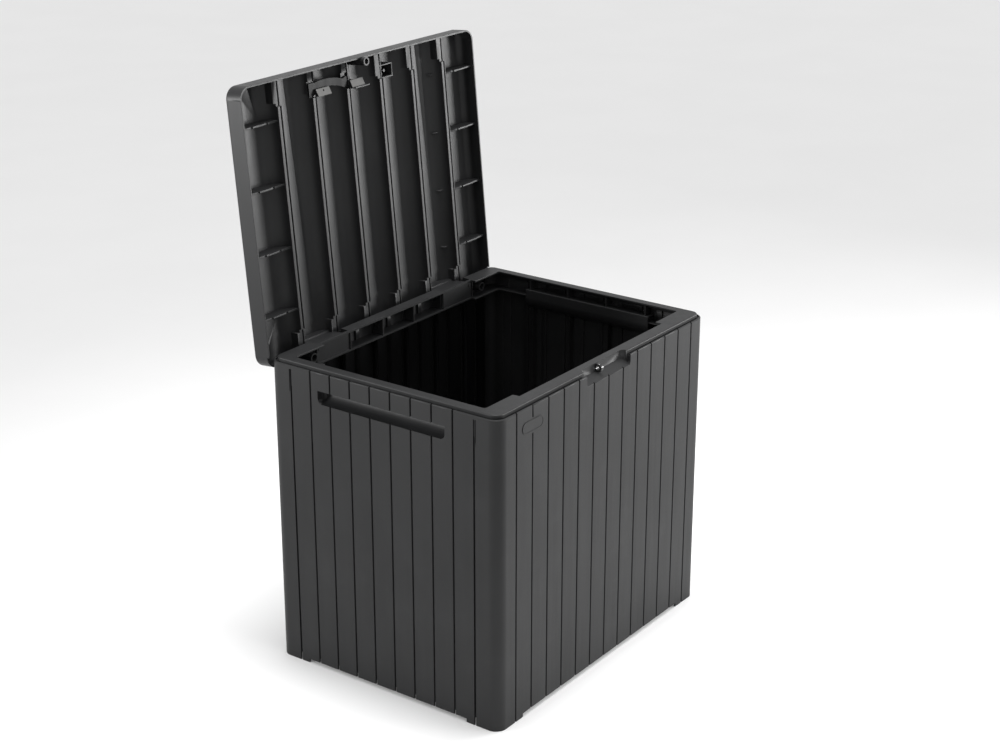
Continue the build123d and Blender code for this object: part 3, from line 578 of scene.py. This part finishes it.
def steady_normals(obj: bpy.types.Object) -> None:
    """Lets the large faces set the shading normals, so that flats stay flat beside roundings.

    Args:
        obj: the object, active.
    """
    modifier = obj.modifiers.new("steady_normals", "WEIGHTED_NORMAL")
    modifier.mode = "FACE_AREA"
    modifier.weight = EVEN_WEIGHT
    modifier.keep_sharp = True
    bpy.ops.object.modifier_apply(modifier=modifier.name)


def softened_copy(node: str, name: str, offset: float, shortest: float) -> bpy.types.Object:
    """Copies a CAD node's mesh, merges it and rounds its long hard edges.

    Args:
        node: the CAD node.
        name: the new piece's name.
        offset: the rounding's width in metres.
        shortest: the shortest edge that is rounded.

    Returns:
        The new object.
    """
    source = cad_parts[node]
    obj = bpy.data.objects.new(name, source.data.copy())
    bpy.context.scene.collection.objects.link(obj)
    activate(obj)
    bpy.ops.object.mode_set(mode="EDIT")
    bpy.ops.mesh.select_all(action="SELECT")
    bpy.ops.mesh.remove_doubles(threshold=MERGE_WITHIN)
    bpy.ops.mesh.dissolve_limited(angle_limit=FLAT_WITHIN)
    bpy.ops.object.mode_set(mode="OBJECT")
    count = round_hard_edges(obj, offset, shortest)
    bpy.ops.object.shade_smooth_by_angle(angle=SMOOTH_UP_TO)
    steady_normals(obj)
    LOG.info("%s: %d edges rounded, %d faces", name, count, len(obj.data.polygons))
    return obj


# ---------------------------------------------------------------- sub-assemblies


@dataclass
class Walls:
    """The four planked panels and the floor plate, with their long edges rounded."""

    edge: float = 0.6 * MM
    shortest: float = 9.0 * MM
    panels: tuple[str, ...] = ("front_panel", "back_panel", "left_panel", "right_panel")
    floor: str = "floor_panel"

    def build(self, rack: FinishRack) -> None:
        """Softens and dresses each panel and the floor plate.

        Args:
            rack: the finishes.
        """
        for node in self.panels:
            piece = softened_copy(node, f"{node}_moulding", self.edge, self.shortest)
            dress(piece, rack.get(PANEL_FINISH))
            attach(piece, Body.BOX.value)
            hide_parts(node)
        piece = softened_copy(self.floor, "floor_plate_moulding", self.edge, self.shortest)
        dress(piece, rack.get(FLOOR_FINISH))
        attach(piece, Body.BOX.value)
        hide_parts(self.floor)


@dataclass(frozen=True)
class Cove:
    """A quarter-round between an upright wall and the lid's ceiling, running front to back."""

    x: float
    z: float
    radius: float
    slack: float = 0.3 * MM

    def normal(self, place: Vector) -> Vector | None:
        """Gives the exact surface direction at a point of the closed lid.

        Args:
            place: the point.

        Returns:
            The direction into the trough, or None where the point isn't on the cove.
        """
        across, up = self.x - place.x, self.z - place.z
        reach = math.hypot(across, up)
        if up > self.slack or abs(reach - self.radius) > self.slack:
            return None
        return Vector((across / reach, 0.0, up / reach))


@dataclass
class Lid:
    """The open lid's shell, with its troughs shaded as true rounds and a painted highlight on two pads."""

    edge: float = 0.5 * MM
    shortest: float = 7.0 * MM
    hinge: tuple[float, float, float] = (0.0, 210.15 * MM, 502.9 * MM)
    opening: float = 95.0
    half_inside: float = 285.8 * MM
    ceiling: float = 540.3 * MM
    rib_pitch: float = 81.66 * MM
    rib_count: int = 6
    rib_left: float = 2.75 * MM
    rib_right: float = 7.35 * MM
    cove: float = 24.0 * MM
    agree: float = 0.86
    pad_xs: tuple[float, ...] = (-101.0 * MM, -19.5 * MM)
    pad_half: float = 15.8 * MM
    pad_y: tuple[float, float] = (-188.2 * MM, -175.8 * MM)
    pad_z: tuple[float, float] = (508.0 * MM, 514.6 * MM)
    pad_facing: float = 0.5

    def build(self, rack: FinishRack) -> None:
        """Softens and dresses the lid.

        Args:
            rack: the finishes.
        """
        piece = softened_copy("lid_shell", "lid_moulding", self.edge, self.shortest)
        self.round_troughs(piece)
        dress(piece, rack.get(LID_FINISH))
        self.paint_pad_highlight(piece, rack)
        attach(piece, Body.LID.value)
        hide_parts("lid_shell")

    def coves(self) -> list[Cove]:
        """Lists the quarter-rounds beside the ribs and inside the side skirts.

        Returns:
            The coves of the closed lid.
        """
        small = self.cove / 2
        found = [Cove(side * (self.half_inside - small), self.ceiling - small, small) for side in (-1, 1)]
        level = self.ceiling - self.cove
        for index in range(self.rib_count):
            middle = (index - (self.rib_count - 1) / 2) * self.rib_pitch
            found.append(Cove(middle - self.rib_left - self.cove, level, self.cove))
            found.append(Cove(middle + self.rib_right + self.cove, level, self.cove))
        return found

    def turn(self) -> Matrix:
        """The turn that opens the closed lid about its hinge.

        Returns:
            The matrix from the closed to the open lid.
        """
        hinge = Vector(self.hinge)
        swing = Matrix.Rotation(math.radians(-self.opening), 4, "X")
        return Matrix.Translation(hinge) @ swing @ Matrix.Translation(-hinge)

    def round_troughs(self, piece: bpy.types.Object) -> None:
        """Sets exact shading directions on the troughs' quarter-rounds.

        Args:
            piece: the open lid.
        """
        mesh = piece.data
        opened = self.turn()
        closed = opened.inverted()
        coves = self.coves()
        exact = {}
        for vertex in mesh.vertices:
            place = closed @ vertex.co
            hits = [cove.normal(place) for cove in coves]
            exact[vertex.index] = [opened.to_3x3() @ hit for hit in hits if hit is not None]
        normals = [corner.vector.copy() for corner in mesh.corner_normals]
        changed = 0
        for polygon in mesh.polygons:
            for corner in polygon.loop_indices:
                for hit in exact[mesh.loops[corner].vertex_index]:
                    if hit.dot(polygon.normal) > self.agree:
                        normals[corner] = hit
                        changed += 1
        mesh.normals_split_custom_set(normals)
        LOG.info("%s: %d corners follow the coves", piece.name, changed)

    def paint_pad_highlight(self, piece: bpy.types.Object, rack: FinishRack) -> None:
        """Gives the two catch pads a paler face: a painted highlight, not the pads' own tone.

        Args:
            piece: the open lid.
            rack: the finishes.
        """
        # Second material on the pad faces: the painted highlight.
        piece.data.materials.append(rack.get(PAD_HIGHLIGHT_FINISH))
        closed = self.turn().inverted()
        for polygon in piece.data.polygons:
            place = closed @ polygon.center
            facing = (closed.to_3x3() @ polygon.normal).z < -self.pad_facing
            across = any(abs(place.x - x) < self.pad_half for x in self.pad_xs)
            if (facing and across and self.pad_y[0] < place.y < self.pad_y[1]
                    and self.pad_z[0] < place.z < self.pad_z[1]):
                polygon.material_index = 1


@dataclass
class Fittings:
    """The padlock eye, the catch arm and the hinge pins."""

    arm_edge: float = 0.4 * MM
    shortest: float = 2.5 * MM

    def build(self, rack: FinishRack) -> None:
        """Softens the catch arm and dresses all the small black fittings.

        Args:
            rack: the finishes.
        """
        dress(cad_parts["padlock_eye"], rack.get(EYE_FINISH))
        arm = softened_copy("catch_spring", "catch_arm_moulding", self.arm_edge, self.shortest)
        dress(arm, rack.get(CATCH_FINISH))
        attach(arm, Body.LID.value)
        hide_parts("catch_spring")
        for node in ("hinge_pin_left", "hinge_pin_right"):
            dress(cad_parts[node], rack.get(PIN_FINISH))


@dataclass(frozen=True)
class Softbox:
    """One rectangular studio light."""

    name: str
    place: tuple[float, float, float]
    aim: tuple[float, float, float]
    width: float
    height: float
    power: float
    spread: float

    def build(self) -> None:
        """Adds the light, turned to its aim."""
        data = bpy.data.lights.new(self.name, "AREA")
        data.shape = "RECTANGLE"
        data.size = self.width
        data.size_y = self.height
        data.energy = self.power
        data.spread = math.radians(self.spread)
        obj = bpy.data.objects.new(self.name, data)
        bpy.context.scene.collection.objects.link(obj)
        obj.location = self.place
        direction = Vector(self.aim) - Vector(self.place)
        obj.rotation_euler = direction.to_track_quat("-Z", "Y").to_euler()
        LOG.info("light %s: %.1f W", self.name, self.power)


@dataclass
class Studio:
    """The floor, the lights, the surroundings' light and the camera."""

    floor_size: float = 40.0
    floor_gap: float = 0.2 * MM
    sky: float = 0.82
    camera_place: tuple[float, float, float] = (-2.3912, -1.7458, 1.5707)
    camera_yaw: float = 0.9436
    camera_pitch: float = 0.3633
    lens: float = 70.9
    sensor: float = 36.0
    far_clip: float = 60.0
    lights: tuple[Softbox, ...] = (
        Softbox("key_softbox", place=(2.5, -1.8, 0.75), aim=(0.0, 0.2, 0.9),
                width=0.9, height=0.8, power=27.0, spread=110.0),
        Softbox("upper_softbox", place=(1.2, -2.6, 2.4), aim=(0.0, 0.0, 0.6),
                width=0.9, height=0.9, power=3.5, spread=90.0),
        Softbox("top_softbox", place=(0.1, 0.0, 2.8), aim=(0.0, 0.0, 0.4),
                width=0.9, height=0.9, power=9.0, spread=60.0),
        Softbox("left_edge_light", place=(-1.9, 1.35, 0.95), aim=(-0.25, 0.26, 0.9),
                width=0.5, height=0.5, power=5.0, spread=60.0),
    )

    def build(self) -> None:
        """Builds the studio."""
        self.build_floor()
        for light in self.lights:
            light.build()
        self.build_sky()
        self.build_camera()
        bpy.context.scene.view_settings.view_transform = "Standard"

    def build_floor(self) -> None:
        """Adds the floor plane, just under the box's feet."""
        clear_selection()
        level = CAD_BOX[0][2] - self.floor_gap
        bpy.ops.mesh.primitive_plane_add(size=self.floor_size, location=(0, 0, level))
        floor = bpy.context.active_object
        floor.name = "studio_floor"
        dress(floor, StudioFloor().make())

    def build_sky(self) -> None:
        """Sets the even white light all round."""
        world = bpy.data.worlds.new("studio_surround")
        bpy.context.scene.world = world
        world.use_nodes = True
        background = world.node_tree.nodes["Background"]
        background.inputs["Color"].default_value = (1.0, 1.0, 1.0, 1.0)
        background.inputs["Strength"].default_value = self.sky

    def build_camera(self) -> None:
        """Adds the camera at the standing viewer's place."""
        data = bpy.data.cameras.new("viewer")
        data.lens = self.lens
        data.sensor_width = self.sensor
        data.clip_end = self.far_clip
        camera = bpy.data.objects.new("viewer", data)
        bpy.context.scene.collection.objects.link(camera)
        camera.location = self.camera_place
        camera.rotation_euler = (math.pi / 2 - self.camera_pitch, 0.0, -self.camera_yaw)
        bpy.context.scene.camera = camera


def main() -> None:
    """Builds every sub-assembly in order."""
    logging.basicConfig(level=logging.INFO, format="%(message)s")
    rack = FinishRack()
    Walls().build(rack)
    Lid().build(rack)
    Fittings().build(rack)
    Studio().build()


if __name__ == "__main__":
    main()
